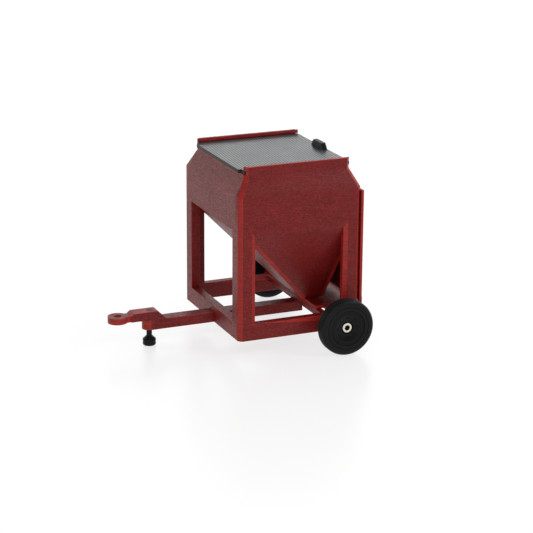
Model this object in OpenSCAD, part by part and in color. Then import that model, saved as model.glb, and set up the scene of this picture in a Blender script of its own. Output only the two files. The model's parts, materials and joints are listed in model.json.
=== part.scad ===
// Gravity wagon, 1:32 scale: a seed bin with a sliding lid on a two-wheeled frame.
// +X points to the hitch, +Y to the wagon's left, +Z up.  Z = 0 is the ground.
// The origin is on the ground, at the centre of the wagon's footprint.

/* [Body] */
// Length of the frame, front face to rear face
body_l = 55.2; // [48:0.2:68]
// Width of the frame, over the side faces
body_w = 62.4; // [52:0.2:76]
// Thickness of every wall and slope plate
wall_t = 1.6; // [1:0.1:2]
// Height of the bin walls' lower edge above the frame's underside
bin_low = 46.7; // [40:0.1:54]
// Height of the upright part of the bin walls
wall_h = 14.8; // [10:0.2:24]
// Height of the leaning shoulder above the upright walls
shoulder_h = 7.6; // [5:0.2:12]
// How far the shoulder leans in at the front and the rear
shoulder_in_x = 3.9; // [2:0.1:6]
// How far the shoulder leans in at each side
shoulder_in_y = 3.4; // [2:0.1:6]
// Height of the upright rim above the shoulder
rim_h = 4.6; // [3.6:0.1:6]

/* [Frame] */
// Length of a corner post's side leg along the wagon
post_l = 7.7; // [6:0.1:10]
// Width of a corner post's end leg across the wagon
post_w = 7.5; // [5:0.1:9]
// Thickness of the end legs and end rails, along the wagon
end_t = 4; // [3:0.1:5]
// Thickness of the side legs and side rails, across the wagon
side_t = 3.4; // [2.4:0.1:5]
// Length of the bevel along a post's edge beside the side window
bevel_l = 1.8; // [0.4:0.1:2.6]
// Depth of that bevel
bevel_w = 1.1; // [0.4:0.1:2]
// Chamfer along the four outer corners, from the posts up to the rims
corner_chamfer = 1.5; // [0.4:0.1:1.8]
// Height of the bottom rails
rail_h = 7.2; // [5:0.1:9]
// Width of the cross bar along the wagon
cross_l = 3; // [2:0.1:4]
// Distance from the frame's front face to the cross bar
cross_back = 38.5; // [32:0.1:40]

/* [Hopper] */
// Level of the hopper's lower edge above the bottom rails
throat_up = 1.9; // [1.7:0.1:4]
// Distance from the frame's front face to the front slope's lower edge
throat_front = 36.9; // [30:0.1:38]
// Distance from the frame's front face to the rear slope's lower edge
throat_rear = 47; // [45:0.1:50]
// Width of the throat over its outer faces
throat_w = 25.2; // [18:0.2:32]
// Distance of the slopes' upper edges from the frame's end faces
slope_set = 1; // [0.4:0.1:1.3]

/* [Rear plate and gate] */
// Thickness of the rear plate
rear_plate_t = 1.2; // [0.8:0.1:2]
// Height of the rear plate's lower edge above the frame's underside
rear_plate_low = 11.7; // [10:0.1:16]
// Height of the rear plate
rear_plate_h = 48.3; // [38:0.1:50]
// Thickness of the gate plate
gate_t = 1.3; // [0.8:0.1:1.5]
// How far the gate's pull lip stands behind the rear plate
gate_lip_back = 2.7; // [1:0.1:6]
// Height of the pull lip over the gate plate's underside
gate_lip_h = 2.9; // [2:0.1:4]

/* [Lid] */
// Thickness of the lid
lid_t = 1.6; // [1.2:0.1:2]
// Distance from the rim's top down to the lid's top
lid_drop = 1.6; // [1.2:0.1:1.8]
// How far the lid's front lip stands out in front of the rims
lid_over = 1.4; // [0.2:0.1:3]
// Width of the lid's front lip
lid_lip_w = 47; // [30:0.5:50]
// Depth of the groove that holds the lid's edge
groove_d = 0.7; // [0.4:0.05:0.9]
// Length of the lid handle's foot, across the wagon
handle_l = 12; // [8:0.5:24]
// Length of the lid handle's top
handle_top_l = 8.2; // [6:0.5:20]
// Height of the lid handle
handle_h = 2.5; // [1.5:0.1:4]
// Thickness of the lid handle
handle_t = 2.2; // [1.5:0.1:3]
// Distance from the lid's rear edge to the handle
handle_set = 0.4; // [0:0.1:2]

/* [Drawbar] */
// Width of the drawbar
drawbar_w = 6.2; // [5:0.1:8]
// Height of the drawbar
drawbar_h = 4.4; // [3:0.1:5]
// Distance from the frame's front face forward to the support foot's axis
foot_ahead = 28.4; // [20:0.2:34]
// Length of the hitch plate behind the support foot's axis, along its top
plate_tail = 3.1; // [2.4:0.1:6]
// Thickness of the hitch plate
plate_h = 3.7; // [3:0.1:5]
// Distance from the support foot's axis forward to the hitch eye's axis
eye_ahead = 14; // [11:0.2:20]
// Radius of the hitch eye's outside
eye_r = 4.2; // [3.6:0.1:6]
// Radius of the hitch eye's bore
eye_bore_r = 1.7; // [1.2:0.05:2.2]
// Thickness of the hitch eye
eye_t = 2.7; // [2:0.1:3.4]
// Length of the bevel on the hitch plate's nose
nose_l = 1.2; // [0.4:0.1:2]
// Gap between the hitch plate's nose and the eye's ring
nose_gap = 1; // [0.5:0.1:3]
// Width of the neck between the hitch plate and the eye
neck_w = 4.8; // [3:0.1:6]

/* [Support foot] */
// Radius of the foot's pin
pin_r = 1.2; // [0.9:0.05:1.6]
// Radius of the foot
foot_r = 2.85; // [2.2:0.05:4]
// Height of the foot
foot_h = 4; // [2.5:0.1:6]
// Radius of the foot's round edges
foot_edge = 0.9; // [0.4:0.1:1.2]
// Height of the step on top of the foot
foot_step = 0.6; // [0.2:0.1:0.6]

/* [Wheels] */
// Outer radius of a tyre
wheel_r = 12; // [10:0.2:16]
// Width of a tyre
tyre_w = 5.8; // [4:0.1:8]
// Radius of a tyre's rounded shoulders
shoulder_r = 1.6; // [0.8:0.1:1.9]
// Depth of a tyre's tread grooves
groove_depth = 0.45; // [0.2:0.05:0.8]
// Width of a tyre's tread grooves
groove_w = 0.55; // [0.3:0.05:0.9]
// Radius of the seat between a tyre and its rim
rim_r = 7.6; // [6:0.1:8.6]
// Thickness of a rim's outer ring
rim_ring_t = 1.1; // [0.8:0.1:2]
// How far a rim's outer ring stands back from the tyre's faces
rim_ring_in = 0.4; // [0.2:0.1:0.6]
// Radius of a rim's hub
hub_r = 3.6; // [3.2:0.1:5]
// Radius of the shallow dish in a rim's outer face
dish_r = 5.6; // [4:0.1:6.4]
// Depth of that dish
dish_d = 0.5; // [0.2:0.1:1]
// How far a rim's hub stands back from the tyre's inner face
hub_in = 0.6; // [0.4:0.1:0.8]
// Distance from a tyre's inner face to the seat of the screw's head
screw_seat = 2.2; // [1.8:0.1:3]
// Distance from the frame's side face to a tyre's inner face
wheel_out = 7; // [4:0.1:9]
// Distance from the frame's front face back to the axle
axle_back = 44.2; // [40:0.1:46]
// Height of the axle above the frame's underside
axle_up = 4.5; // [2.6:0.1:5]
// Radius of an axle boss
boss_r = 3.3; // [2.6:0.1:5]
// Radius of a wheel screw's shank
screw_r = 1.25; // [1:0.05:1.5]
// Length of a wheel screw's shank
screw_l = 12; // [10:0.5:16]
// Radius of a wheel screw's head
screw_head_r = 2.25; // [1.8:0.05:2.8]
// Height of a wheel screw's head
screw_head_h = 2.5; // [1.6:0.1:3]
// Distance across the flats of the hex socket
socket_af = 2; // [1.5:0.1:2.5]
// Depth of the hex socket
socket_d = 1.3; // [0.8:0.1:1.5]

/* [Clearances] */
// Radial clearance of a pin, shank or rim in its bore
fit_gap = 0.05; // [0.02:0.01:0.1]
// Gap beside and below pieces that slide
slide_gap = 0.15; // [0.1:0.05:0.3]
// Gap between a turning piece and its neighbour along the axle
side_gap = 0.3; // [0.2:0.05:0.5]
// Gap round a screw's head in its rim
head_gap = 0.35; // [0.2:0.05:0.6]

/* [Hidden] */

round_fn = 96;
small_fn = 48;
big = 400;
wagon_red = "firebrick";
cover_grey = "dimgray";
tyre_black = "#202022";

// Levels, measured up from the ground
frame_z = wheel_r - axle_up;
rail_top = frame_z + rail_h;
bin_z = frame_z + bin_low;
shoulder_z = bin_z + wall_h;
rim_z = shoulder_z + shoulder_h;
top_z = rim_z + rim_h;
lid_z = top_z - lid_drop - lid_t;
throat_z = rail_top + throat_up;
gate_z = rail_top + slide_gap;
plate_z = frame_z + drawbar_h;

// Stations along X
gate_end = body_l + rear_plate_t + gate_lip_back + gate_t;
hitch_end = foot_ahead + eye_ahead + eye_r;
front_x = (gate_end - hitch_end) / 2;
rear_x = front_x - body_l;
axle_x = front_x - axle_back;
foot_x = front_x + foot_ahead;
eye_x = foot_x + eye_ahead;
nose_x = eye_x - eye_r - nose_gap;
side_y = body_w / 2;
wheel_y = side_y + wheel_out;
seat_y = wheel_y + screw_seat;

// Repeats its children on the left (s = 1) or the right (s = -1) side
module on_side(s) { mirror([0, s > 0 ? 0 : 1, 0]) children(); }

// Extrudes an outline drawn in X and Z across the wagon
module across(w) { rotate([90, 0, 0]) translate([0, 0, -w / 2]) linear_extrude(w) children(); }

// Extrudes an outline drawn in Y and Z along the wagon, from x0 to x1
module along(x0, x1) {
    translate([x0, 0, 0]) rotate([90, 0, 90]) linear_extrude(x1 - x0) children();
}

// ---- Hopper outlines: "inset" moves every plate's face inwards by one plate thickness ----

front_rise = (throat_front - slope_set) / (bin_z - throat_z);
rear_rise = (body_l - slope_set - throat_rear) / (bin_z - throat_z);
side_rise = (side_y - throat_w / 2) / (bin_z - throat_z);

// Distance along the level that one plate thickness takes on a slope
function level_t(rise) = wall_t * sqrt(1 + rise * rise);

// Lengthwise section of the hopper, from the throat up to the walls' lower edge
module hopper_side(inset = 0) {
    f = inset * level_t(front_rise);
    r = inset * level_t(rear_rise);
    polygon([
        [front_x - throat_front - f, throat_z], [front_x - slope_set - f, bin_z],
        [rear_x + slope_set + r, bin_z], [front_x - throat_rear + r, throat_z]
    ]);
}

// Cross section of the hopper
module hopper_face(inset = 0) {
    s = inset * level_t(side_rise);
    polygon([
        [-throat_w / 2 + s, throat_z], [-side_y + s, bin_z],
        [side_y - s, bin_z], [throat_w / 2 - s, throat_z]
    ]);
}

// The whole hopper as one solid, for cutting what stands around it
module hopper_solid() {
    intersection() {
        across(big) hopper_side();
        along(-big, big) hopper_face();
    }
}

// ---- Frame ----

// A chamfer never takes more than the wall that it is cut in
corner_cut = min(corner_chamfer, wall_t - 0.1);

// Section of a corner post, an angle with one leg along the end and one along the side.
// xd and yd point to the inside of the frame; the bevel stands beside the side window.
module post_section(xd, yd, along_bevel, across_bevel) {
    polygon([
        [xd * corner_cut, 0], [xd * (post_l - along_bevel), 0],
        [xd * post_l, yd * across_bevel], [xd * post_l, yd * side_t],
        [xd * end_t, yd * side_t], [xd * end_t, yd * post_w],
        [0, yd * post_w], [0, yd * corner_cut]
    ]);
}

// The post stands square beside the rails and bevelled above them
module post(front, s) {
    x = front ? front_x : rear_x;
    xd = front ? -1 : 1;
    color(wagon_red) difference() {
        translate([x, s * side_y, frame_z]) union() {
            linear_extrude(rail_h) post_section(xd, -s, 0, 0);
            translate([0, 0, rail_h]) linear_extrude(bin_low - rail_h)
                post_section(xd, -s, bevel_l, bevel_w);
        }
        hopper_solid();
    }
}

module side_rail(s) {
    bore_y = side_y - side_t - 1;
    color(wagon_red) on_side(s) difference() {
        translate([rear_x + post_l, side_y - side_t, frame_z])
            cube([body_l - 2 * post_l, side_t, rail_h]);
        translate([axle_x, bore_y, wheel_r]) rotate([-90, 0, 0])
            cylinder(r = screw_r + fit_gap, h = side_t + 2, $fn = round_fn);
    }
}

module front_rail() {
    color(wagon_red) difference() {
        translate([front_x - end_t, -side_y + post_w, frame_z])
            cube([end_t, body_w - 2 * post_w, rail_h]);
        drawbar_bar();
    }
}

module rear_rail() {
    color(wagon_red) translate([rear_x, -side_y + post_w, frame_z])
        cube([end_t, body_w - 2 * post_w, rail_h]);
}

module cross_bar() {
    color(wagon_red) translate([front_x - cross_back - cross_l, -side_y + side_t, plate_z])
        cube([cross_l, body_w - 2 * side_t, rail_top - plate_z]);
}

// ---- Bin walls ----

// Outline of the bin seen from the side, up to level z_top
module bin_side(z_top) {
    polygon([
        [front_x, bin_z], [front_x, shoulder_z], [front_x - shoulder_in_x, rim_z],
        [front_x - shoulder_in_x, z_top], [rear_x + shoulder_in_x, z_top],
        [rear_x + shoulder_in_x, rim_z], [rear_x, shoulder_z], [rear_x, bin_z]
    ]);
}

// A bent wall in section: upright, leaning shoulder, upright rim up to level z_top
module bent_wall(lean, z_top) {
    polygon([
        [0, bin_z], [0, shoulder_z], [-lean, rim_z], [-lean, z_top],
        [-lean - wall_t, z_top], [-lean - wall_t, rim_z], [-wall_t, shoulder_z], [-wall_t, bin_z]
    ]);
}

// What the chamfer takes off a left corner of the bin: its face follows the shoulder's lean
module corner_wedge(front) {
    d = corner_cut / sqrt(2);
    lean = (shoulder_in_x + shoulder_in_y) / sqrt(2);
    translate([front ? front_x : rear_x, side_y, 0]) rotate(front ? 45 : 135) across(big / 2)
        polygon([
            [-d, bin_z - 1], [-d, shoulder_z], [-d - lean, rim_z], [-d - lean, top_z + 1],
            [body_w, top_z + 1], [body_w, bin_z - 1]
        ]);
}

module side_wall(s) {
    rim_in = side_y - shoulder_in_y - wall_t;
    color(wagon_red) on_side(s) difference() {
        intersection() {
            across(big) bin_side(top_z);
            along(-big, big) translate([side_y, 0]) bent_wall(shoulder_in_y, top_z);
        }
        corner_wedge(true);
        corner_wedge(false);
        translate([-big / 2, rim_in - 1, lid_z - slide_gap])
            cube([big, 1 + groove_d, lid_t + 2 * slide_gap]);
    }
}

// Cross section of the space between the side walls
module bin_inside() {
    w = side_y - wall_t;
    r = w - shoulder_in_y;
    polygon([
        [-w, bin_z], [-w, shoulder_z], [-r, rim_z], [-r, top_z],
        [r, top_z], [r, rim_z], [w, shoulder_z], [w, bin_z]
    ]);
}

module end_wall() {
    intersection() {
        across(big) bent_wall(shoulder_in_x, lid_z - slide_gap);
        along(-big, big) bin_inside();
    }
}

module front_bin_wall() { color(wagon_red) translate([front_x, 0, 0]) end_wall(); }

module rear_bin_wall() {
    color(wagon_red) translate([rear_x, 0, 0]) mirror([1, 0, 0]) end_wall();
}

// ---- Hopper slopes ----

// Each end slope runs up behind its wall until its upper face meets the wall
module front_slope() {
    t = level_t(front_rise);
    lap = (t + slope_set - wall_t) / front_rise;
    color(wagon_red) intersection() {
        across(big) polygon([
            [front_x - throat_front, throat_z], [front_x - slope_set, bin_z],
            [front_x - wall_t, bin_z], [front_x - wall_t, bin_z + lap],
            [front_x - throat_front - t, throat_z]
        ]);
        union() {
            along(-big, big) hopper_face();
            translate([-big / 2, -side_y + wall_t, bin_z])
                cube([big, body_w - 2 * wall_t, lap]);
        }
    }
}

module rear_slope() {
    t = level_t(rear_rise);
    lap = (t + slope_set - wall_t) / rear_rise;
    color(wagon_red) intersection() {
        across(big) polygon([
            [front_x - throat_rear, throat_z], [rear_x + slope_set, bin_z],
            [rear_x + wall_t, bin_z], [rear_x + wall_t, bin_z + lap],
            [front_x - throat_rear + t, throat_z]
        ]);
        union() {
            along(-big, big) hopper_face();
            translate([-big / 2, -side_y + wall_t, bin_z])
                cube([big, body_w - 2 * wall_t, lap]);
        }
    }
}

// A side slope lies between the two end slopes
module side_slope(s) {
    color(wagon_red) on_side(s) intersection() {
        across(big) hopper_side(1);
        difference() {
            along(-big, big) hopper_face();
            along(-big, big) hopper_face(1);
        }
        translate([-big / 2, 0, 0]) cube([big, big, big]);
    }
}

// ---- Rear plate and outlet gate ----

module rear_plate() {
    color(wagon_red) translate([rear_x - rear_plate_t, -side_y, frame_z + rear_plate_low])
        cube([rear_plate_t, body_w, rear_plate_h]);
}

gate_w = body_w - 2 * post_w - 2 * side_gap;
gate_front = front_x - cross_back;
gate_rear = rear_x - rear_plate_t - gate_lip_back;

module outlet_gate() {
    color(wagon_red) translate([gate_rear, -gate_w / 2, gate_z])
        cube([gate_front - gate_rear, gate_w, gate_t]);
}

module gate_lip() {
    color(wagon_red) translate([gate_rear - gate_t, -gate_w / 2, gate_z])
        cube([gate_t, gate_w, gate_lip_h]);
}

// ---- Lid ----

lid_half = side_y - shoulder_in_y - wall_t + groove_d - slide_gap;
lid_rear = rear_x + shoulder_in_x;

// The lid between the rims, with a narrower lip in front of them
module lid() {
    front = front_x - shoulder_in_x;
    lip_w = min(lid_lip_w, 2 * lid_half);
    color(cover_grey) translate([0, 0, lid_z]) union() {
        translate([lid_rear, -lid_half, 0]) cube([front - lid_rear, 2 * lid_half, lid_t]);
        translate([lid_rear, -lip_w / 2, 0]) cube([front + lid_over - lid_rear, lip_w, lid_t]);
    }
}

module lid_handle() {
    color(tyre_black) translate([lid_rear + handle_set, 0, lid_z + lid_t]) rotate([90, 0, 90])
        linear_extrude(handle_t) polygon([
            [-handle_l / 2, 0], [-handle_top_l / 2, handle_h],
            [handle_top_l / 2, handle_h], [handle_l / 2, 0]
        ]);
}

// ---- Drawbar and hitch ----

// The straight bar, from the cross bar's underside to the support foot's axis
module drawbar_bar() {
    x0 = front_x - cross_back - cross_l;
    translate([x0, -drawbar_w / 2, frame_z]) cube([foot_x - x0, drawbar_w, drawbar_h]);
}

module pin_bore() {
    translate([foot_x, 0, 0]) cylinder(r = pin_r + fit_gap, h = top_z, $fn = round_fn);
}

module drawbar() {
    color(wagon_red) difference() {
        union() {
            drawbar_bar();
            translate([foot_x, 0, frame_z])
                cylinder(r = drawbar_w / 2, h = drawbar_h, $fn = round_fn);
        }
        pin_bore();
    }
}

// The raised plate on the drawbar's head, with its sloping tail
module hitch_plate() {
    tail_x = foot_x - plate_tail;
    color(wagon_red) difference() {
        across(drawbar_w) polygon([
            [tail_x - plate_h, plate_z], [tail_x, plate_z + plate_h],
            [nose_x - nose_l, plate_z + plate_h], [nose_x, plate_z + eye_t], [nose_x, plate_z]
        ]);
        pin_bore();
    }
}

module hitch_eye() {
    color(wagon_red) translate([0, 0, plate_z]) difference() {
        union() {
            translate([eye_x, 0, 0]) cylinder(r = eye_r, h = eye_t, $fn = round_fn);
            translate([nose_x, -neck_w / 2, 0]) cube([eye_x - nose_x, neck_w, eye_t]);
        }
        translate([eye_x, 0, -1]) cylinder(r = eye_bore_r, h = eye_t + 2, $fn = round_fn);
    }
}

// ---- Support foot ----

module support_pin() {
    color(tyre_black) translate([foot_x, 0, foot_h])
        cylinder(r = pin_r, h = plate_z + plate_h - foot_h, $fn = round_fn);
}

// A mushroom foot: flat sole, round edge, domed top
module support_foot() {
    e = foot_edge;
    color(tyre_black) translate([foot_x, 0, 0]) rotate_extrude($fn = round_fn)
        difference() {
            union() {
                for (z = [e, foot_h - foot_step - e])
                    translate([foot_r - e, z]) circle(r = e, $fn = small_fn);
                translate([0, e]) square([foot_r, foot_h - foot_step - 2 * e]);
                square([foot_r - e, foot_h]);
            }
            translate([-foot_r * 2, -1]) square([foot_r * 2, foot_h + 2]);
        }
}

// ---- Wheels ----

module axle_boss(s) {
    l = wheel_out + hub_in - side_gap;
    color(wagon_red) on_side(s) translate([axle_x, side_y, wheel_r]) rotate([-90, 0, 0])
        difference() {
            cylinder(r = boss_r, h = l, $fn = round_fn);
            translate([0, 0, -1]) cylinder(r = screw_r + fit_gap, h = l + 2, $fn = round_fn);
        }
}

// Places a turned shape on the axle: its r runs out from the axle, its z outwards
module on_axle(s) {
    on_side(s) translate([axle_x, wheel_y, wheel_r]) rotate([-90, 0, 0]) children();
}

module tyre(s) {
    r0 = rim_r + fit_gap;
    ring_out = 1.1;
    ring_w = 0.6;
    ring_depth = 0.3;
    color(tyre_black) on_axle(s) rotate_extrude($fn = round_fn) difference() {
        union() {
            translate([r0, 0]) square([wheel_r - shoulder_r - r0, tyre_w]);
            translate([r0, shoulder_r]) square([wheel_r - r0, tyre_w - 2 * shoulder_r]);
            for (z = [shoulder_r, tyre_w - shoulder_r])
                translate([wheel_r - shoulder_r, z]) circle(r = shoulder_r, $fn = small_fn);
        }
        for (z = [shoulder_r, tyre_w / 2, tyre_w - shoulder_r])
            translate([wheel_r - groove_depth, z - groove_w / 2]) square([1, groove_w]);
        // A shallow ring in each sidewall
        for (z = [-ring_depth, tyre_w - ring_depth])
            translate([rim_r + ring_out, z]) square([ring_w, 2 * ring_depth]);
    }
}

// Rim with a counterbore for the screw's head, a shallow dish round it and a raised outer ring
module rim(s) {
    shank_bore = screw_r + fit_gap;
    head_bore = screw_head_r + head_gap;
    seat = screw_seat - slide_gap;
    face = tyre_w - rim_ring_in;
    web_in = 0.1;
    color(tyre_black) on_axle(s) rotate_extrude($fn = round_fn) polygon([
        [shank_bore, hub_in], [hub_r, hub_in], [hub_r, hub_in + web_in],
        [rim_r - rim_ring_t, hub_in + web_in], [rim_r - rim_ring_t, rim_ring_in],
        [rim_r, rim_ring_in], [rim_r, face], [dish_r, face], [hub_r, face - dish_d],
        [head_bore, face - dish_d], [head_bore, seat], [shank_bore, seat]
    ]);
}

module wheel_screw(s) {
    color("silver") on_side(s) translate([axle_x, seat_y, wheel_r]) rotate([-90, 0, 0])
        difference() {
            union() {
                cylinder(r = screw_head_r, h = screw_head_h, $fn = round_fn);
                translate([0, 0, -screw_l]) cylinder(r = screw_r, h = screw_l + 1, $fn = round_fn);
            }
            translate([0, 0, screw_head_h - socket_d])
                cylinder(d = socket_af / cos(30), h = socket_d + 1, $fn = 6);
        }
}

post(true, 1);  // front_left_post
post(true, -1);  // front_right_post
post(false, 1);  // rear_left_post
post(false, -1);  // rear_right_post
side_rail(1);  // left_rail
side_rail(-1);  // right_rail
front_rail();
rear_rail();
cross_bar();
side_wall(1);  // left_bin_wall
side_wall(-1);  // right_bin_wall
front_bin_wall();
rear_bin_wall();
front_slope();
rear_slope();
side_slope(1);  // left_slope
side_slope(-1);  // right_slope
rear_plate();
outlet_gate();
gate_lip();
lid();
lid_handle();
drawbar();
hitch_plate();
hitch_eye();
support_pin();
support_foot();
axle_boss(1);  // left_axle_boss
axle_boss(-1);  // right_axle_boss
tyre(1);  // left_tyre
tyre(-1);  // right_tyre
rim(1);  // left_rim
rim(-1);  // right_rim
wheel_screw(1);  // left_wheel_screw
wheel_screw(-1);  // right_wheel_screw
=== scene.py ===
"""Gravity wagon, 1:32: the printed plastic, the wheels and the studio around the CAD frame."""

import json
import math

import bmesh
import bpy
from bpy.props import FloatProperty, FloatVectorProperty, IntProperty, PointerProperty
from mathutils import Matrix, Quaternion, Vector
from mathutils.bvhtree import BVHTree


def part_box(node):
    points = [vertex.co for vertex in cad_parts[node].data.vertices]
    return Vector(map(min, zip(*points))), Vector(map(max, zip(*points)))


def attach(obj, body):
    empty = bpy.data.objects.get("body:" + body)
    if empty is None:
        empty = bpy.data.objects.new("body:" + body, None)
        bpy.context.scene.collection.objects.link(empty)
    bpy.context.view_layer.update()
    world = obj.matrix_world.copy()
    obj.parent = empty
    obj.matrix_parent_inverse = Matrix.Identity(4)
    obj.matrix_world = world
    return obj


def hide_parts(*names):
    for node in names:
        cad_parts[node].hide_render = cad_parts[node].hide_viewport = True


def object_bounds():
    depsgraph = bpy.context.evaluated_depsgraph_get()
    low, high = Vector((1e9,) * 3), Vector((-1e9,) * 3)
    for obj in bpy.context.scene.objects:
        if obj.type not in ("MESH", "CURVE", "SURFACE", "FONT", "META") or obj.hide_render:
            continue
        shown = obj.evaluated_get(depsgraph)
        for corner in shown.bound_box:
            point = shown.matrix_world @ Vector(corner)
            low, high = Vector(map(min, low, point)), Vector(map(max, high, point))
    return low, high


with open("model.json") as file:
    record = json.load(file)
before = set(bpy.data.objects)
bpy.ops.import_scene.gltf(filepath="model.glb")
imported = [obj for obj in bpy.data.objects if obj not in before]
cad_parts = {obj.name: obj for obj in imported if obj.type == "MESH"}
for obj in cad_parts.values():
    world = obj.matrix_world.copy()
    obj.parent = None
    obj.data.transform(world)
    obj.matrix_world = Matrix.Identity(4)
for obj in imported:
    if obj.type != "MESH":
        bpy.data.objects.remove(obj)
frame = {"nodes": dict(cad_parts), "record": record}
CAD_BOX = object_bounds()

bl_info = {
    "name": "Gravity Wagon",
    "version": (1, 0, 0),
    "blender": (4, 5, 0),
    "location": "View3D > Sidebar > Wagon",
    "description": "Builds a printed 1:32 gravity wagon and its studio around the CAD frame",
    "category": "Object",
}

MM = 0.001
BODY_OF = {
    node: body
    for body, nodes in frame["record"]["behaviour"]["bodies"].items()
    for node in nodes
}
UP = Vector((0, 0, 1))
LEFT = Vector((0, 1, 0))

POSTS = ["front_left_post", "front_right_post", "rear_left_post", "rear_right_post"]
RAILS = ["left_rail", "right_rail", "front_rail", "rear_rail", "cross_bar"]
BIN_WALLS = ["left_bin_wall", "right_bin_wall", "front_bin_wall", "rear_bin_wall"]
SLOPES = ["front_slope", "rear_slope", "left_slope", "right_slope"]
REAR_PARTS = ["rear_plate", "outlet_gate", "gate_lip"]
DRAWBAR_PARTS = ["drawbar", "hitch_plate", "hitch_eye"]
BOSSES = ["left_axle_boss", "right_axle_boss"]
SIDES = {"left": LEFT, "right": -LEFT}
SCREW_HEAD = 2.5 * MM
SCREW_SHANK = 1.25 * MM
JOIN_DISTANCE = 0.002 * MM
TOUCH_DISTANCE = 0.03 * MM
FLAT_ANGLE = math.radians(0.5)
FREE_EDGE_ANGLE = math.radians(35)
SHARP_ANGLE = math.radians(38)


# ---- Sizes and colours that a user would change ----


class WagonPrint(bpy.types.PropertyGroup):
    layer: FloatProperty(
        name="Layer height", description="Height of one printed layer",
        default=0.2 * MM, min=0.05 * MM, max=0.4 * MM, precision=5, unit="LENGTH",
    )
    layer_depth: FloatProperty(
        name="Layer depth", description="Depth of the groove between two layers",
        default=0.02 * MM, min=0, max=0.1 * MM, precision=6, unit="LENGTH",
    )
    line: FloatProperty(
        name="Line width", description="Width of one line of plastic on a top face",
        default=0.5 * MM, min=0.2 * MM, max=1.2 * MM, precision=5, unit="LENGTH",
    )
    line_depth: FloatProperty(
        name="Line depth", description="Depth of the groove between two lines",
        default=0.04 * MM, min=0, max=0.1 * MM, precision=6, unit="LENGTH",
    )
    lid_line: FloatProperty(
        name="Lid line width", description="Width of one glossy line on the lid",
        default=1.2 * MM, min=0.2 * MM, max=3 * MM, precision=5, unit="LENGTH",
    )
    edge_radius: FloatProperty(
        name="Edge radius", description="Radius of the rounded edges",
        default=0.2 * MM, min=0.02 * MM, max=0.4 * MM, precision=5, unit="LENGTH",
    )
    edge_segments: IntProperty(
        name="Edge segments", description="Faces across a rounded edge",
        default=3, min=1, max=6,
    )
    # Narrow faces get the edge red, painted brighter for light shining through thin plastic.
    strip: FloatProperty(
        name="Strip width", description="A face narrower than this shows the edge's deep red",
        default=2.3 * MM, min=0, max=3 * MM, precision=5, unit="LENGTH",
    )


class WagonColours(bpy.types.PropertyGroup):
    red: FloatVectorProperty(
        name="Red", description="Printed walls, posts and rails",
        default=(0.20, 0.009, 0.008), min=0, max=1, size=3, subtype="COLOR",
    )
    red_dark: FloatVectorProperty(
        name="Dark red", description="Streaks between layers",
        default=(0.10, 0.004, 0.0035), min=0, max=1, size=3, subtype="COLOR",
    )
    # Painted light: a brighter red for thin edges and narrow strips, standing in for light that
    # shines through the plastic there.
    red_edge: FloatVectorProperty(
        name="Edge red", description="Thin edges, where light comes through",
        default=(0.38, 0.014, 0.008), min=0, max=1, size=3, subtype="COLOR",
    )
    lid: FloatVectorProperty(
        name="Lid grey", description="The sliding lid",
        default=(0.046, 0.056, 0.064), min=0, max=1, size=3, subtype="COLOR",
    )
    black: FloatVectorProperty(
        name="Black", description="Handle, support foot and wheel rims",
        default=(0.004, 0.004, 0.0045), min=0, max=1, size=3, subtype="COLOR",
    )
    rubber: FloatVectorProperty(
        name="Rubber", description="The tyres",
        default=(0.006, 0.006, 0.0062), min=0, max=1, size=3, subtype="COLOR",
    )
    nickel: FloatVectorProperty(
        name="Nickel", description="The wheel screws",
        default=(0.80, 0.74, 0.64), min=0, max=1, size=3, subtype="COLOR",
    )


class WagonWheels(bpy.types.PropertyGroup):
    segments: IntProperty(
        name="Segments", description="Steps round a wheel", default=144, min=24, max=360,
    )
    groove_width: FloatProperty(
        name="Groove width", description="Width of a groove in the tread",
        default=0.5 * MM, min=0.2 * MM, max=1 * MM, precision=5, unit="LENGTH",
    )
    groove_depth: FloatProperty(
        name="Groove depth", description="Depth of a groove in the tread",
        default=0.45 * MM, min=0, max=0.8 * MM, precision=5, unit="LENGTH",
    )
    bolts: IntProperty(
        name="Wheel bolts", description="Bolt heads round the rim's web", default=8, min=3, max=16,
    )
    bolt_circle: FloatProperty(
        name="Bolt circle", description="Radius of the ring of bolt heads",
        default=4.5 * MM, min=4 * MM, max=6 * MM, precision=5, unit="LENGTH",
    )
    bolt_radius: FloatProperty(
        name="Bolt radius", description="Radius of a bolt head",
        default=0.42 * MM, min=0.2 * MM, max=0.9 * MM, precision=5, unit="LENGTH",
    )


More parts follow.
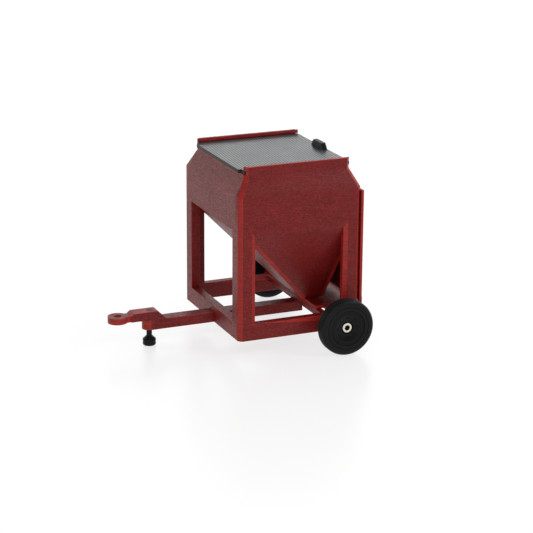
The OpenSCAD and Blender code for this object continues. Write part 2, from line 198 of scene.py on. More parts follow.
class WagonStage(bpy.types.PropertyGroup):
    lens: FloatProperty(
        name="Lens", description="Focal length", default=125.07, min=20, max=400, unit="CAMERA",
    )
    camera_place: FloatVectorProperty(
        name="Camera", description="Where the camera stands",
        default=(0.2813, 0.7017, 0.2692), size=3, precision=4, subtype="TRANSLATION", unit="LENGTH",
    )
    camera_aim: FloatVectorProperty(
        name="Aim", description="Direction that the camera looks in",
        default=(-0.3752, -0.8777, -0.2982), size=3, precision=4, subtype="DIRECTION",
    )
    camera_roll: FloatProperty(
        name="Roll", description="Turn of the camera about its own line of sight",
        default=math.radians(0.41), min=-0.2, max=0.2, precision=4, subtype="ANGLE",
    )
    camera_shift: FloatProperty(
        name="Shift", description="Upward shift of the frame, as a share of its width",
        default=-0.0094, min=-0.1, max=0.1, precision=4,
    )
    world: FloatProperty(
        name="Surround", description="Strength of the white surround behind the wagon",
        default=1.25, min=0, max=3,
    )
    world_near: FloatProperty(
        name="Near surround", description="Strength of the surround on the camera's side",
        default=0.14, min=0, max=3,
    )
    key_power: FloatProperty(
        name="Key power", description="Power of the soft key light",
        default=0.85, min=0, max=50, unit="POWER",
    )
    key_size: FloatProperty(
        name="Key size", description="Side of the soft key light",
        default=0.12, min=0.02, max=1, unit="LENGTH",
    )
    fill_power: FloatProperty(
        name="Fill power", description="Power of the soft light beside the wagon",
        default=0.36, min=0, max=50, unit="POWER",
    )
    key_height: FloatProperty(
        name="Key height", description="Angle of the key light above the floor",
        default=math.radians(33), min=0, max=math.radians(90), subtype="ANGLE",
    )
    floor_glow: FloatProperty(
        name="Floor glow", description="Light that the backlit floor gives off",
        default=0.74, min=0, max=2,
    )


# ---- Shader nodes ----


class Value:
    """A socket of a node tree, so that shader maths reads as an expression."""

    def __init__(self, nodes, socket):
        self.nodes = nodes
        self.socket = socket

    def _math(self, operation, first, second):
        return self.nodes.node("ShaderNodeMath", {"operation": operation}, {0: first, 1: second})

    def __add__(self, other):
        return self._math("ADD", self, other)

    def __sub__(self, other):
        return self._math("SUBTRACT", self, other)

    def __rsub__(self, other):
        return self._math("SUBTRACT", other, self)

    def __mul__(self, other):
        return self._math("MULTIPLY", self, other)

    def __truediv__(self, other):
        return self._math("DIVIDE", self, other)

    __radd__ = __add__
    __rmul__ = __mul__

    def fract(self):
        return self._math("FRACT", self, 0)


class Nodes:
    """A node tree, emptied first, and the one method that adds a node to it."""

    def __init__(self, tree):
        self.tree = tree
        self.tree.nodes.clear()

    def node(self, kind, settings=None, values=None, out=0):
        """Adds a node: settings first, then its sockets' values or links. Returns one output."""
        made = self.tree.nodes.new(kind)
        for name, setting in (settings or {}).items():
            if name == "stops":
                self._set_stops(made.color_ramp, setting)
            else:
                setattr(made, name, setting)
        for name, value in (values or {}).items():
            self._feed(self._socket(made.inputs, name), value)
        return Value(self, self._socket(made.outputs, out)) if made.outputs else None

    @staticmethod
    def _set_stops(ramp, stops):
        while len(ramp.elements) < len(stops):
            ramp.elements.new(1)
        for element, (place, level) in zip(ramp.elements, stops):
            element.position = place
            element.color = (level, level, level, 1)

    @staticmethod
    def _socket(sockets, name):
        """The socket of that number, or the first enabled one of that name."""
        if isinstance(name, int):
            return sockets[name]
        return next(s for s in sockets if s.enabled and s.name == name)

    def _feed(self, socket, value):
        if isinstance(value, Value):
            self.tree.links.new(value.socket, socket)
        elif socket.type == "RGBA":
            socket.default_value = (*value, 1)
        else:
            socket.default_value = value


class Finish(Nodes):
    """A procedural material and the steps that its looks are made of."""

    def __init__(self, name):
        self.material = bpy.data.materials.new(name)
        self.material.use_nodes = True
        super().__init__(self.material.node_tree)

    def place(self):
        """The point on the piece, in the wagon's own frame."""
        return self.node("ShaderNodeTexCoord", out="Object")

    def parts(self, vector):
        """The X, Y and Z of a vector."""
        x = self.node("ShaderNodeSeparateXYZ", values={0: vector}, out="X")
        outputs = x.socket.node.outputs
        return [Value(self, outputs[i]) for i in range(3)]

    def noise(self, stretch, detail=3.0, roughness=0.6):
        """Noise whose cells are stretch long, in metres, along X, Y and Z."""
        scale = tuple(1 / s for s in stretch)
        place = self.node("ShaderNodeVectorMath", {"operation": "MULTIPLY"},
                          {0: self.place(), 1: scale})
        return self.node("ShaderNodeTexNoise", values={
            "Vector": place, "Scale": 1.0, "Detail": detail, "Roughness": roughness})

    def ramp(self, value, stops):
        """A value passed through a grey ramp of (place, level) stops."""
        return self.node("ShaderNodeValToRGB", {"stops": stops}, {0: value})

    def mix(self, factor, first, second):
        """Two colours mixed by a factor."""
        return self.node("ShaderNodeMix", {"data_type": "RGBA"},
                         {"Factor": factor, "A": first, "B": second}, out="Result")

    def bump(self, height, depth, normal=None):
        """A bump of that height, 0 to 1, that stands depth metres proud."""
        values = {"Height": height, "Distance": depth}
        if normal:
            values["Normal"] = normal
        return self.node("ShaderNodeBump", values=values, out="Normal")

    def surface(self, values):
        """Ends the tree in a Principled BSDF with these values, and returns the material."""
        shader = self.node("ShaderNodeBsdfPrincipled", values=values)
        self.node("ShaderNodeOutputMaterial", values={"Surface": shader})
        return self.material


def made_once(maker):
    """The material that a maker function builds, built at its first use."""
    return bpy.data.materials.get(maker.__name__) or maker()


def layer_beads(finish, layer):
    """Height of the layer lines on an upright face: 0 in a groove, 1 on a bead."""
    z = finish.parts(finish.place())[2]
    saw = (z / layer).fract() * 2 - 1
    return 1 - saw * saw


def printed_red():
    """Red plastic in layers: deep red, with darker streaks and a grain along the layers."""
    setting = bpy.context.scene.wagon_print
    colour = bpy.context.scene.wagon_colours
    finish = Finish("printed_red")
    streaks = finish.noise((5 * MM, 5 * MM, 0.4 * MM), detail=4)
    grain = finish.noise((0.9 * MM, 0.9 * MM, 0.35 * MM), detail=2)
    patches = finish.noise((16 * MM, 16 * MM, 9 * MM), detail=2)
    shade = finish.ramp(streaks * 0.55 + grain * 0.3 + patches * 0.15, [(0.36, 0), (0.64, 1)])
    waves = finish.bump(patches, 0.03 * MM)
    layers = finish.bump(layer_beads(finish, setting.layer), setting.layer_depth, waves)
    rough = finish.bump(grain + streaks, 0.03 * MM, layers)
    return finish.surface({
        "Base Color": finish.mix(shade, tuple(colour.red_dark), tuple(colour.red)),
        "Roughness": 0.5 - shade * 0.12,
        "Specular IOR Level": 0.2,
        "Coat Weight": finish.ramp(grain, [(0.45, 0), (0.62, 1)]) * 0.3,
        "Coat Roughness": 0.35,
        "Normal": rough,
    })


def printed_edge_lit():
    """The same plastic on thin edges, where it is clear: painted a brighter, saturated red for the
    light that shines through it there.
    """
    setting = bpy.context.scene.wagon_print
    colour = bpy.context.scene.wagon_colours
    finish = Finish("printed_edge_lit")
    streaks = finish.noise((5 * MM, 5 * MM, 0.5 * MM), detail=3)
    shade = finish.ramp(streaks, [(0.35, 0), (0.65, 1)])
    layers = finish.bump(layer_beads(finish, setting.layer), setting.layer_depth)
    return finish.surface({
        # Painted light: streaks mix the wall red with the brighter edge red that stands in for light
        # shining through.
        "Base Color": finish.mix(shade, tuple(colour.red), tuple(colour.red_edge)),
        "Roughness": 0.5 - shade * 0.1,
        "Specular IOR Level": 0.3,
        "Normal": layers,
    })


def lid_grey_painted_highlights():
    """Dark grey plastic, glossy on its printed lines, which run slantwise across the lid; its colour
    is painted lighter on the lines' beads and darker in their grooves, as painted highlight and
    shade.
    """
    setting = bpy.context.scene.wagon_print
    colour = bpy.context.scene.wagon_colours
    finish = Finish("lid_grey_painted_highlights")
    x, y, _ = finish.parts(finish.place())
    pitch = setting.lid_line * math.sqrt(2)
    saw = ((x - y) / pitch).fract() * 2 - 1
    bead = 1 - saw * saw
    grain = finish.noise((0.6 * MM, 0.6 * MM, 0.4 * MM), detail=3)
    patches = finish.noise((9 * MM, 9 * MM, 9 * MM), detail=3)
    shade = finish.ramp(grain * 0.3 + patches * 0.15 + bead * 0.55, [(0.5, 0), (0.74, 1)])
    grey = tuple(colour.lid)
    lined = finish.bump(bead, setting.line_depth * 4)
    return finish.surface({
        # Painted highlight and shade: the grey follows the beads, with some random grain, from a
        # tenth of itself in the grooves to 1.7 times on the beads.
        "Base Color": finish.mix(
            shade, tuple(c * 0.1 for c in grey), tuple(c * 1.7 for c in grey)),
        "Roughness": 0.5 - shade * 0.2,
        "Specular IOR Level": 0.08,
        "Coat Weight": shade,
        "Coat IOR": 1.7,
        "Coat Roughness": 0.2,
        "Normal": finish.bump(grain, 0.02 * MM, lined),
    })


def printed_black():
    """Black plastic in layers."""
    setting = bpy.context.scene.wagon_print
    colour = bpy.context.scene.wagon_colours
    finish = Finish("printed_black")
    grain = finish.noise((1.2 * MM, 1.2 * MM, 0.3 * MM), detail=3)
    black = tuple(colour.black)
    layers = finish.bump(layer_beads(finish, setting.layer), setting.layer_depth)
    return finish.surface({
        "Base Color": finish.mix(grain, black, tuple(c * 1.8 for c in black)),
        "Roughness": 0.38 + grain * 0.2,
        "Specular IOR Level": 0.3,
        "Normal": layers,
    })


def rubber_black():
    """Soft black rubber with a fine matt grain."""
    colour = bpy.context.scene.wagon_colours
    finish = Finish("rubber_black")
    grain = finish.noise((0.5 * MM,) * 3, detail=2)
    dust = finish.noise((3 * MM,) * 3, detail=3)
    rubber = tuple(colour.rubber)
    return finish.surface({
        "Base Color": finish.mix(dust, rubber, tuple(c * 1.7 for c in rubber)),
        "Roughness": 0.42 + dust * 0.12,
        "Specular IOR Level": 0.12,
        "Normal": finish.bump(grain, 0.008 * MM),
    })


def rim_black_and_socket_shade():
    """Smooth moulded black plastic; also painted into the screws' hex sockets as shade."""
    colour = bpy.context.scene.wagon_colours
    finish = Finish("rim_black_and_socket_shade")
    grain = finish.noise((0.6 * MM,) * 3, detail=2)
    black = tuple(colour.black)
    return finish.surface({
        "Base Color": finish.mix(grain, black, tuple(c * 1.5 for c in black)),
        "Roughness": 0.28 + grain * 0.12,
        "Specular IOR Level": 0.12,
        "Normal": finish.bump(grain, 0.008 * MM),
    })


def screw_nickel():
    """Bright plated steel with fine turning marks."""
    colour = bpy.context.scene.wagon_colours
    finish = Finish("screw_nickel")
    marks = finish.noise((0.5 * MM, 0.06 * MM, 0.5 * MM), detail=2)
    nickel = tuple(colour.nickel)
    return finish.surface({
        "Base Color": finish.mix(marks, tuple(c * 0.85 for c in nickel), nickel),
        "Metallic": 1.0,
        "Roughness": 0.18 + marks * 0.14,
        "Normal": finish.bump(marks, 0.004 * MM),
    })


def floor_white():
    """A pale, slightly glossy backlit sheet."""
    stage = bpy.context.scene.wagon_stage
    finish = Finish("floor_white")
    cloud_size = 0.2
    greenish = (0.19, 0.195, 0.19)
    pale = (0.22, 0.22, 0.22)
    cloud = finish.noise((cloud_size,) * 3, detail=2)
    return finish.surface({
        "Base Color": finish.mix(cloud, greenish, pale),
        "Roughness": 0.3,
        "Specular IOR Level": 0.15,
        "Emission Color": (1.0, 1.0, 1.0),
        "Emission Strength": stage.floor_glow,
    })


# ---- Meshes ----


def add_piece(node, bm, finishes):
    """Turns a mesh into the piece that stands for a CAD node, on that node's body."""
    mesh = bpy.data.meshes.new(node + "_finished")
    bm.to_mesh(mesh)
    bm.free()
    for maker in finishes:
        mesh.materials.append(made_once(maker))
    mesh.polygons.foreach_set("use_smooth", [True] * len(mesh.polygons))
    mesh.set_sharp_from_angle(angle=SHARP_ANGLE)
    piece = bpy.data.objects.new(node + "_finished", mesh)
    bpy.context.scene.collection.objects.link(piece)
    shading = piece.modifiers.new("Flat faces stay flat", "WEIGHTED_NORMAL")
    shading.keep_sharp = True
    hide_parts(node)
    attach(piece, BODY_OF[node])
    return piece


def node_mesh(node):
    """A CAD node's mesh, with its split corners joined and its flat faces whole."""
    bm = bmesh.new()
    bm.from_mesh(frame["nodes"][node].data)
    bmesh.ops.remove_doubles(bm, verts=bm.verts, dist=JOIN_DISTANCE)
    bmesh.ops.dissolve_limit(
        bm, angle_limit=FLAT_ANGLE, verts=bm.verts, edges=bm.edges)
    for face in bm.faces:
        face.material_index = 0
    return bm


def neighbours(node):
    """The other CAD nodes of the same body whose boxes touch this one's."""
    reach = 0.02 * MM
    low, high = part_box(node)
    near = []
    for other, body in BODY_OF.items():
        if other == node or body != BODY_OF[node]:
            continue
        other_low, other_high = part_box(other)
        if all(other_low[i] - reach <= high[i] and low[i] - reach <= other_high[i]
               for i in range(3)):
            near.append(other)
    return near


def cut_at_neighbours(bm, node, near):
    """Cuts the faces where a neighbour starts or ends, so that free edges can be told apart."""
    margin = 0.5 * MM
    low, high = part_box(node)
    for axis in range(3):
        normal = Vector([float(i == axis) for i in range(3)])
        taken = [low[axis], high[axis]]
        for other in near:
            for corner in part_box(other):
                level = corner[axis]
                if low[axis] < level < high[axis] and all(abs(level - t) > margin for t in taken):
                    taken.append(level)
                    bmesh.ops.bisect_plane(
                        bm, geom=bm.verts[:] + bm.edges[:] + bm.faces[:],
                        plane_co=normal * level, plane_no=normal, dist=JOIN_DISTANCE)


def surface_tree(node):
    """A CAD node's surface, for finding what lies on it."""
    mesh = frame["nodes"][node].data
    return BVHTree.FromPolygons(
        [v.co for v in mesh.vertices], [list(p.vertices) for p in mesh.polygons])


def touches(trees, point):
    """True where a point lies on one of the neighbours."""
    for tree in trees:
        distance = tree.find_nearest(point, 2 * TOUCH_DISTANCE)[3]
        if distance is not None and distance < TOUCH_DISTANCE:
            return True
    return False


def round_edges(bm, node, radius, segments):
    """Rounds the edges that stand free, and gives the round to the second material."""
    near = neighbours(node)
    cut_at_neighbours(bm, node, near)
    trees = [surface_tree(other) for other in near]
    free = []
    for edge in bm.edges:
        if len(edge.link_faces) != 2 or edge.calc_length() < 2.5 * radius:
            continue
        if edge.calc_face_angle_signed() < FREE_EDGE_ANGLE:
            continue
        middle = (edge.verts[0].co + edge.verts[1].co) / 2
        if not touches(trees, middle):
            free.append(edge)
    bmesh.ops.bevel(
        bm, geom=free, offset=radius, offset_type="OFFSET", segments=segments, profile=0.5,
        affect="EDGES", clamp_overlap=False, loop_slide=True, material=1)


def mark_strips(bm, width):
    """Gives the narrow faces to the second material."""
    for face in bm.faces:
        if 2 * face.calc_area() / face.calc_perimeter() < width:
            face.material_index = 1


def top_face(bm):
    """The widest face that looks straight up."""
    tops = [f for f in bm.faces if f.normal.z > 0.999 and f.material_index == 0]
    return max(tops, key=lambda f: f.calc_area())


def groove_lines(bm, faces, across, line, depth):
    """Draws low beads side by side over level faces, one line width apart along across."""
    half = line / 2
    inside = set(faces)
    spans = [v.co.dot(across) for f in inside for v in f.verts]
    start = min(spans)
    for i in range(1, math.ceil((max(spans) - start) / half)):
        geometry = list(inside) + list({e for f in inside for e in f.edges})
        geometry += list({v for f in inside for v in f.verts})
        cut = bmesh.ops.bisect_plane(
            bm, geom=geometry, dist=0.001 * MM, plane_co=across * (start + i * half), plane_no=across)
        inside = {g for g in cut["geom"] if isinstance(g, bmesh.types.BMFace)}
        for vert in (g for g in cut["geom_cut"] if isinstance(g, bmesh.types.BMVert)):
            vert.co.z -= depth * ((i + 1) % 2)
        inside = {f for f in inside if f.calc_center_median().dot(across) > start + i * half}


def print_top(bm, direction, line, depth):
    """Draws printed lines on the widest top face: one along its outline, the rest inside it."""
    face = top_face(bm)
    level = face.verts[0].co.z
    for step in range(2):
        bmesh.ops.inset_individual(bm, faces=[face], thickness=line / 2, use_even_offset=True)
        for vert in face.verts:
            vert.co.z = level - depth * ((step + 1) % 2)
    groove_lines(bm, [face], direction.cross(UP).normalized(), line, depth)


def printed_piece(node, line_direction=None):
    """A red printed piece: round free edges and narrow strips in the edge red, painted brighter for
    the light that shines through thin plastic, and, if asked, lines on its top.
    """
    setting = bpy.context.scene.wagon_print
    bm = node_mesh(node)
    mark_strips(bm, setting.strip)
    round_edges(bm, node, setting.edge_radius, setting.edge_segments)
    if line_direction:
        print_top(bm, line_direction, setting.line, setting.line_depth)
    return add_piece(node, bm, [printed_red, printed_edge_lit])


def turned_mesh(bm, rings, base, axis, segments, closed=False):
    """Adds a turned solid. A ring is (height, radius), and a radius may depend on the angle.

    A closed outline comes back to its first ring; an open one is capped at both ends."""
    side = axis.orthogonal().normalized()
    other = axis.cross(side)
    made = []
    for height, radius in rings:
        ring = []
        for i in range(segments):
            angle = math.tau * i / segments
            r = radius(angle) if callable(radius) else radius
            ring.append(bm.verts.new(
                base + axis * height + (side * math.cos(angle) + other * math.sin(angle)) * r))
        made.append(ring)
    pairs = list(zip(made, made[1:]))
    if closed:
        pairs.append((made[-1], made[0]))
    for low, high in pairs:
        for i in range(segments):
            j = (i + 1) % segments
            bm.faces.new((low[i], low[j], high[j], high[i]))
    if not closed:
        bm.faces.new(made[0][::-1])
        bm.faces.new(made[-1])
    bmesh.ops.recalc_face_normals(bm, faces=bm.faces)


def arc(height, radius, r, start, end, steps=6):
    """Ring positions round a quarter or other arc, from start to end degrees."""
    turns = [math.radians(start + (end - start) * i / steps) for i in range(steps + 1)]
    return [(height + r * math.sin(t), radius + r * math.cos(t)) for t in turns]


def wheel_place(node, axis):
    """A wheel part's centre on its inner face, its radius and its width."""
    low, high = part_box(node)
    middle = (low + high) / 2
    width = high.y - low.y
    return middle - axis * width / 2, (high.z - low.z) / 2, width


# ---- Operators: one for each piece or group of like pieces ----


class WAGON_OT_frame(bpy.types.Operator):
    """Finish the corner posts, the bottom rails and the cross bar"""

    bl_idname = "wagon.frame"
    bl_label = "Frame"

    def execute(self, context):
        for node in POSTS:
            printed_piece(node)
        for node in RAILS:
            low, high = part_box(node)
            lengthwise = high.x - low.x > high.y - low.y
            printed_piece(node, Vector((1, 0, 0)) if lengthwise else LEFT)
        return {"FINISHED"}


class WAGON_OT_bin(bpy.types.Operator):
    """Finish the four walls of the bin"""

    bl_idname = "wagon.bin"
    bl_label = "Bin walls"

    def execute(self, context):
        for node in BIN_WALLS:
            printed_piece(node)
        return {"FINISHED"}


class WAGON_OT_hopper(bpy.types.Operator):
    """Finish the four slopes of the hopper"""

    bl_idname = "wagon.hopper"
    bl_label = "Hopper slopes"

    def execute(self, context):
        for node in SLOPES:
            printed_piece(node)
        return {"FINISHED"}


class WAGON_OT_rear(bpy.types.Operator):
    """Finish the rear plate, the outlet gate and its lip"""

    bl_idname = "wagon.rear"
    bl_label = "Rear plate and gate"

    def execute(self, context):
        for node in REAR_PARTS:
            printed_piece(node)
        return {"FINISHED"}


class WAGON_OT_drawbar(bpy.types.Operator):
    """Finish the drawbar, the hitch plate and the hitch eye"""

    bl_idname = "wagon.drawbar"
    bl_label = "Drawbar and hitch"

    def execute(self, context):
        for node in DRAWBAR_PARTS:
            printed_piece(node)
        return {"FINISHED"}


class WAGON_OT_lid(bpy.types.Operator):
    """Build the lid, with slanting lines on its top and dark edges"""

    bl_idname = "wagon.lid"
    bl_label = "Lid"

    def execute(self, context):
        setting = context.scene.wagon_print
        bm = node_mesh("lid")
        round_edges(bm, "lid", setting.edge_radius, setting.edge_segments)
        for face in bm.faces:
            face.material_index = int(face.normal.z < 0.99)
        add_piece("lid", bm, [lid_grey_painted_highlights, printed_black])
        return {"FINISHED"}


class WAGON_OT_handle(bpy.types.Operator):
    """Build the lid's handle layer by layer"""

    bl_idname = "wagon.handle"
    bl_label = "Lid handle"

    def execute(self, context):
        layer = context.scene.wagon_print.layer * 1.6
        low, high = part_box("lid_handle")
        middle = (low + high) / 2
        height = high.z - low.z
        thickness = (high.x - low.x) / 2
        foot = (high.y - low.y) / 2
        top = foot - 2 * MM
        corner = 0.35 * MM
        groove = 0.09 * MM
        count = round(height / layer)
        bm = bmesh.new()
        rings = []
        for i in range(count):
            reach = foot + (top - foot) * (i / count) ** 1.15
            for share, inset in ((0, groove), (0.3, 0), (0.7, 0), (1, groove)):
                rings.append(self.outline(
                    bm, middle, low.z + height * (i + share) / count,
                    reach - inset, thickness - inset, corner))
        for first, second in zip(rings, rings[1:]):
            for i in range(len(first)):
                j = (i + 1) % len(first)
                bm.faces.new((first[i], first[j], second[j], second[i]))
        bm.faces.new(rings[0][::-1])
        bm.faces.new(rings[-1])
        bmesh.ops.recalc_face_normals(bm, faces=bm.faces)
        add_piece("lid_handle", bm, [printed_black])
        return {"FINISHED"}

    @staticmethod
    def outline(bm, middle, z, reach, thickness, corner):
        """One rounded rectangle of the handle, reach and thickness from its middle."""
        verts = []
        for sx, sy, start in ((1, 1, 0), (-1, 1, 90), (-1, -1, 180), (1, -1, 270)):
            for step in range(4):
                turn = math.radians(start + 30 * step)
                verts.append(bm.verts.new((
                    middle.x + sx * (thickness - corner) + corner * math.cos(turn),
                    middle.y + sy * (reach - corner) + corner * math.sin(turn), z)))
        return verts


class WAGON_OT_foot(bpy.types.Operator):
    """Turn the support foot and its pin"""

    bl_idname = "wagon.foot"
    bl_label = "Support foot"

    def execute(self, context):
        low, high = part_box("support_foot")
        base = Vector(((low.x + high.x) / 2, (low.y + high.y) / 2, low.z))
        radius, height = (high.x - low.x) / 2, high.z - low.z
        edge = 0.9 * MM
        crown = 0.6 * MM
        waist = 0.12 * MM
        waist_height = height * 0.42
        collar_round = 0.25 * MM
        collar = radius - edge - 0.35 * MM
        rings = arc(edge, radius - edge, edge, -90, 0)
        rings += [(waist_height, radius - waist)]
        rings += arc(height - crown - edge, radius - edge, edge, 0, 80)
        rings += arc(height - collar_round, collar, collar_round, 0, 90, 3)
        bm = bmesh.new()
        turned_mesh(bm, rings, base, UP, 64)
        add_piece("support_foot", bm, [rim_black_and_socket_shade])
        low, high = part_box("support_pin")
        radius, height = (high.x - low.x) / 2, high.z - low.z
        base.z = low.z
        bevel = 0.2 * MM
        rings = [(0, radius)] + arc(height - bevel, radius - bevel, bevel, 0, 90, 3)
        bm = bmesh.new()
        turned_mesh(bm, rings, base, UP, 48)
        add_piece("support_pin", bm, [rim_black_and_socket_shade])
        return {"FINISHED"}


class WAGON_OT_tyres(bpy.types.Operator):
    """Turn the tyres, with grooves in the tread and rings in the sidewalls"""

    bl_idname = "wagon.tyres"
    bl_label = "Tyres"

    def execute(self, context):
        for side, axis in SIDES.items():
            node = side + "_tyre"
            base, radius, width = wheel_place(node, axis)
            bm = bmesh.new()
            turned_mesh(bm, self.outline(context, radius, width), base, axis,
                        context.scene.wagon_wheels.segments, closed=True)
            add_piece(node, bm, [rubber_black])
        return {"FINISHED"}

    @staticmethod
    def outline(context, radius, width):
        """The tyre's section: bead, sidewall with a ring, shoulder and grooved tread."""
        wheels = context.scene.wagon_wheels
        seat = 7.65 * MM
        shoulder = 1.6 * MM
        first_groove = shoulder + 0.25 * MM
        bead = 0.35 * MM
        ring = seat + 1.5 * MM
        ring_width = 0.3 * MM
        ring_depth = 0.22 * MM
        half = wheels.groove_width / 2
        lip = 0.1 * MM
        inner = [(width / 2, seat), (bead, seat)] + arc(bead, seat + bead, bead, 180, 270, 4)
        inner += [(0, ring - ring_width), (ring_depth, ring - ring_width / 2),
                  (ring_depth, ring + ring_width / 2), (0, ring + ring_width)]
        inner += arc(shoulder, radius - shoulder, shoulder, 270, 360, 10)
        tread = []
        floor = radius - wheels.groove_depth
        for place in (first_groove, width / 2):
            tread += [(place - half - lip, radius), (place - half, radius - lip),
                      (place - half + lip, floor), (place + half - lip, floor),
                      (place + half, radius - lip), (place + half + lip, radius)]
        mirrored = [(width - h, r) for h, r in reversed(inner + tread[:6])]
        return inner + tread + mirrored[:-1]


class WAGON_OT_rims(bpy.types.Operator):
    """Turn the dished rims and set a ring of bolt heads on each"""

    bl_idname = "wagon.rims"
    bl_label = "Rims"

    def execute(self, context):
        wheels = context.scene.wagon_wheels
        clearance = 0.15 * MM
        head_gap = 0.35 * MM
        ring = 1.0 * MM
        dish = 5.6 * MM
        hub = 3.7 * MM
        drop = 0.5 * MM
        lip = 0.1 * MM
        sunk = 0.15 * MM
        bolt_low, bolt_top = 0.28 * MM, 0.36 * MM
        for side, axis in SIDES.items():
            node = side + "_rim"
            base, radius, width = wheel_place(node, axis)
            screw_base, head_radius, screw_length = wheel_place(side + "_wheel_screw", axis)
            screw_top = (screw_base + axis * screw_length - base).dot(axis)
            seat = screw_top - SCREW_HEAD - clearance
            bore = SCREW_SHANK + clearance
            well = head_radius + head_gap
            floor = width - drop
            rings = [(0, radius - ring), (0, radius - lip), (lip, radius)]
            rings += [(width - lip, radius), (width, radius - lip)]
            rings += [(width, dish + 2 * lip), (width - lip, dish)]
            rings += [(floor, hub), (floor, well + lip), (floor - lip, well)]
            rings += [(seat, well), (seat, bore), (0.2 * MM, bore), (0.2 * MM, 3.5 * MM)]
            rings += [(0.3 * MM, 3.6 * MM), (0.3 * MM, radius - ring)]
            rise = drop * (wheels.bolt_circle - hub) / (dish - hub)
            bm = bmesh.new()
            turned_mesh(bm, rings, base, axis, wheels.segments, closed=True)
            for i in range(wheels.bolts):
                turn = math.tau * i / wheels.bolts
                out = Vector((math.cos(turn), 0, math.sin(turn)))
                centre = base + axis * (floor + rise - sunk) + wheels.bolt_circle * out
                r = wheels.bolt_radius
                turned_mesh(bm, [(0, r), (bolt_low, r), (bolt_top, r * 0.8)], centre, axis, 6)
            add_piece(node, bm, [rim_black_and_socket_shade])
        return {"FINISHED"}


class WAGON_OT_bosses(bpy.types.Operator):
    """Finish the two axle bosses"""

    bl_idname = "wagon.bosses"
    bl_label = "Axle bosses"

    def execute(self, context):
        for node in BOSSES:
            printed_piece(node)
        return {"FINISHED"}


class WAGON_OT_screws(bpy.types.Operator):
    """Turn the socket-head wheel screws, with a knurled head and a hex socket"""

    bl_idname = "wagon.screws"
    bl_label = "Wheel screws"

    def execute(self, context):
        socket_radius = 1.2 * MM
        shank_end = 1.3 * MM
        for side, axis in SIDES.items():
            node = side + "_wheel_screw"
            base, radius, length = wheel_place(node, axis)
            bm = bmesh.new()
            turned_mesh(bm, self.outline(radius, length), base, axis,
                        context.scene.wagon_wheels.segments)
            # Painted shade: the faces deep in the hex socket get the black rim plastic instead of
            # nickel, for the shade in the recess.
            for face in bm.faces:
                reach = face.calc_center_median() - base
                height = reach.dot(axis)
                painted_socket_shade = (reach - axis * height).length < socket_radius
                face.material_index = int(painted_socket_shade and height > shank_end)
            add_piece(node, bm, [screw_nickel, rim_black_and_socket_shade])
        return {"FINISHED"}

    @staticmethod
    def outline(radius, length):
        """The screw's rings, from the shank's end to the bottom of its hex socket."""
        shank = SCREW_SHANK
        seat = length - SCREW_HEAD
        flat = 1.0 * MM
        chamfer = 0.12 * MM
        depth = 1.3 * MM

        def knurl(angle):
            return radius - 0.05 * MM * (0.5 - 0.5 * math.cos(36 * angle))

        def hexagon(grow):
            sixth = math.tau / 6
            return lambda a: (flat + grow) / math.cos(a % sixth - sixth / 2)

        return [
            (0, shank - 0.2 * MM), (0.2 * MM, shank), (seat, shank), (seat, radius - 0.1 * MM),
            (seat + 0.1 * MM, knurl), (length - 0.45 * MM, knurl),
            (length - 0.4 * MM, radius - 0.03 * MM), (length - 0.15 * MM, radius - 0.08 * MM),
            (length, radius - 0.25 * MM), (length, hexagon(chamfer)),
            (length - chamfer, hexagon(0)), (length - depth, hexagon(0)),
            (length - depth - 0.1 * MM, 0.1 * MM),
        ]


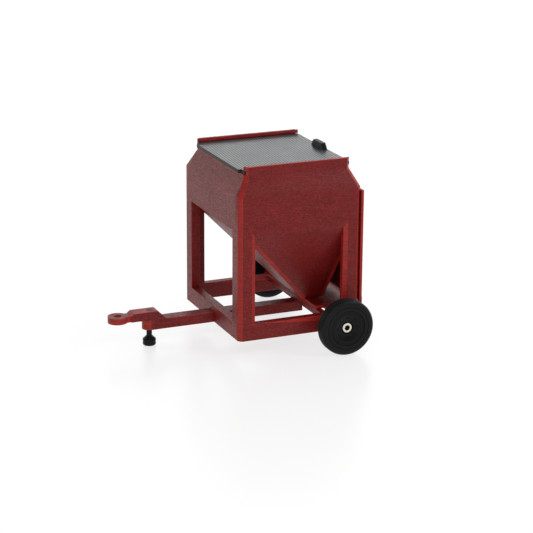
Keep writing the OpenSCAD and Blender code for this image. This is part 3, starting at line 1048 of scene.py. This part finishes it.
class WAGON_OT_stage(bpy.types.Operator):
    """Set the floor, the white surround, the lights and the camera"""

    bl_idname = "wagon.stage"
    bl_label = "Stage"

    def execute(self, context):
        stage = context.scene.wagon_stage
        context.scene.view_settings.view_transform = "Standard"
        self.floor()
        self.surround(context, stage)
        key_way = Vector((-0.7, 0.7, math.tan(stage.key_height))).normalized()
        key_distance = 0.55
        fill_way = Vector((0.4, 0.85, 0.35)).normalized()
        fill_distance = 0.3
        fill_size = 0.3
        self.soft_light("key", stage.key_power, stage.key_size, key_way, key_distance)
        self.soft_light("fill", stage.fill_power, fill_size, fill_way, fill_distance)
        self.camera(context, stage)
        return {"FINISHED"}

    @staticmethod
    def floor():
        half = 4.0
        mesh = bpy.data.meshes.new("floor")
        mesh.from_pydata([(-half, -half, 0), (half, -half, 0), (half, half, 0), (-half, half, 0)],
                         [], [(0, 1, 2, 3)])
        mesh.materials.append(made_once(floor_white))
        floor = bpy.data.objects.new("floor", mesh)
        bpy.context.scene.collection.objects.link(floor)

    @staticmethod
    def surround(context, stage):
        """A white surround that is bright behind the wagon and dim on the camera's side."""
        world = bpy.data.worlds.new("surround")
        world.use_nodes = True
        nodes = Nodes(world.node_tree)
        away = Vector(stage.camera_aim)
        away.z = 0
        place = nodes.node("ShaderNodeTexCoord", out="Generated")
        ahead = nodes.node("ShaderNodeVectorMath", {"operation": "DOT_PRODUCT"},
                           {0: place, 1: away.normalized()}, out="Value")
        level = nodes.node("ShaderNodeMapRange", {"interpolation_type": "SMOOTHSTEP"}, {
            "Value": ahead, "From Min": -0.5, "From Max": 0.7,
            "To Min": stage.world_near, "To Max": stage.world}, out="Result")
        glow = nodes.node("ShaderNodeBackground", values={"Color": (1, 1, 1), "Strength": level})
        nodes.node("ShaderNodeOutputWorld", values={"Surface": glow})
        context.scene.world = world

    @staticmethod
    def soft_light(name, power, size, direction, distance):
        """A square soft light that stands off in a direction and faces the wagon."""
        low, high = CAD_BOX
        middle = (low + high) / 2
        light = bpy.data.lights.new(name, "AREA")
        light.energy = power
        light.size = size
        lamp = bpy.data.objects.new(name, light)
        lamp.location = middle + direction * distance
        lamp.rotation_mode = "QUATERNION"
        lamp.rotation_quaternion = direction.to_track_quat("Z", "Y")
        bpy.context.scene.collection.objects.link(lamp)

    @staticmethod
    def camera(context, stage):
        camera = bpy.data.cameras.new("camera")
        camera.lens = stage.lens
        camera.sensor_width = 36
        camera.shift_y = stage.camera_shift
        camera.clip_start, camera.clip_end = 0.01, 20
        holder = bpy.data.objects.new("camera", camera)
        holder.location = stage.camera_place
        holder.rotation_mode = "QUATERNION"
        level = Vector(stage.camera_aim).to_track_quat("-Z", "Y")
        holder.rotation_quaternion = level @ Quaternion((0, 0, 1), stage.camera_roll)
        context.scene.collection.objects.link(holder)
        context.scene.camera = holder


class WAGON_PT_panel(bpy.types.Panel):
    """Lists the steps in the order they are built"""

    bl_label = "Gravity Wagon"
    bl_idname = "WAGON_PT_panel"
    bl_space_type = "VIEW_3D"
    bl_region_type = "UI"
    bl_category = "Wagon"

    def draw(self, context):
        for step in STEPS:
            self.layout.operator(step.bl_idname)


SETTINGS = {
    "wagon_print": WagonPrint,
    "wagon_colours": WagonColours,
    "wagon_wheels": WagonWheels,
    "wagon_stage": WagonStage,
}
STEPS = [
    WAGON_OT_frame, WAGON_OT_bin, WAGON_OT_hopper, WAGON_OT_rear, WAGON_OT_drawbar,
    WAGON_OT_lid, WAGON_OT_handle, WAGON_OT_foot, WAGON_OT_bosses, WAGON_OT_tyres,
    WAGON_OT_rims, WAGON_OT_screws, WAGON_OT_stage,
]


def register():
    for cls in [*SETTINGS.values(), *STEPS, WAGON_PT_panel]:
        bpy.utils.register_class(cls)
    for name, group in SETTINGS.items():
        setattr(bpy.types.Scene, name, PointerProperty(type=group))


def unregister():
    for name in SETTINGS:
        delattr(bpy.types.Scene, name)
    for cls in [WAGON_PT_panel, *reversed(STEPS), *SETTINGS.values()]:
        bpy.utils.unregister_class(cls)


def main():
    register()
    for step in STEPS:
        group, name = step.bl_idname.split(".")
        getattr(getattr(bpy.ops, group), name)()


if __name__ == "__main__":
    main()
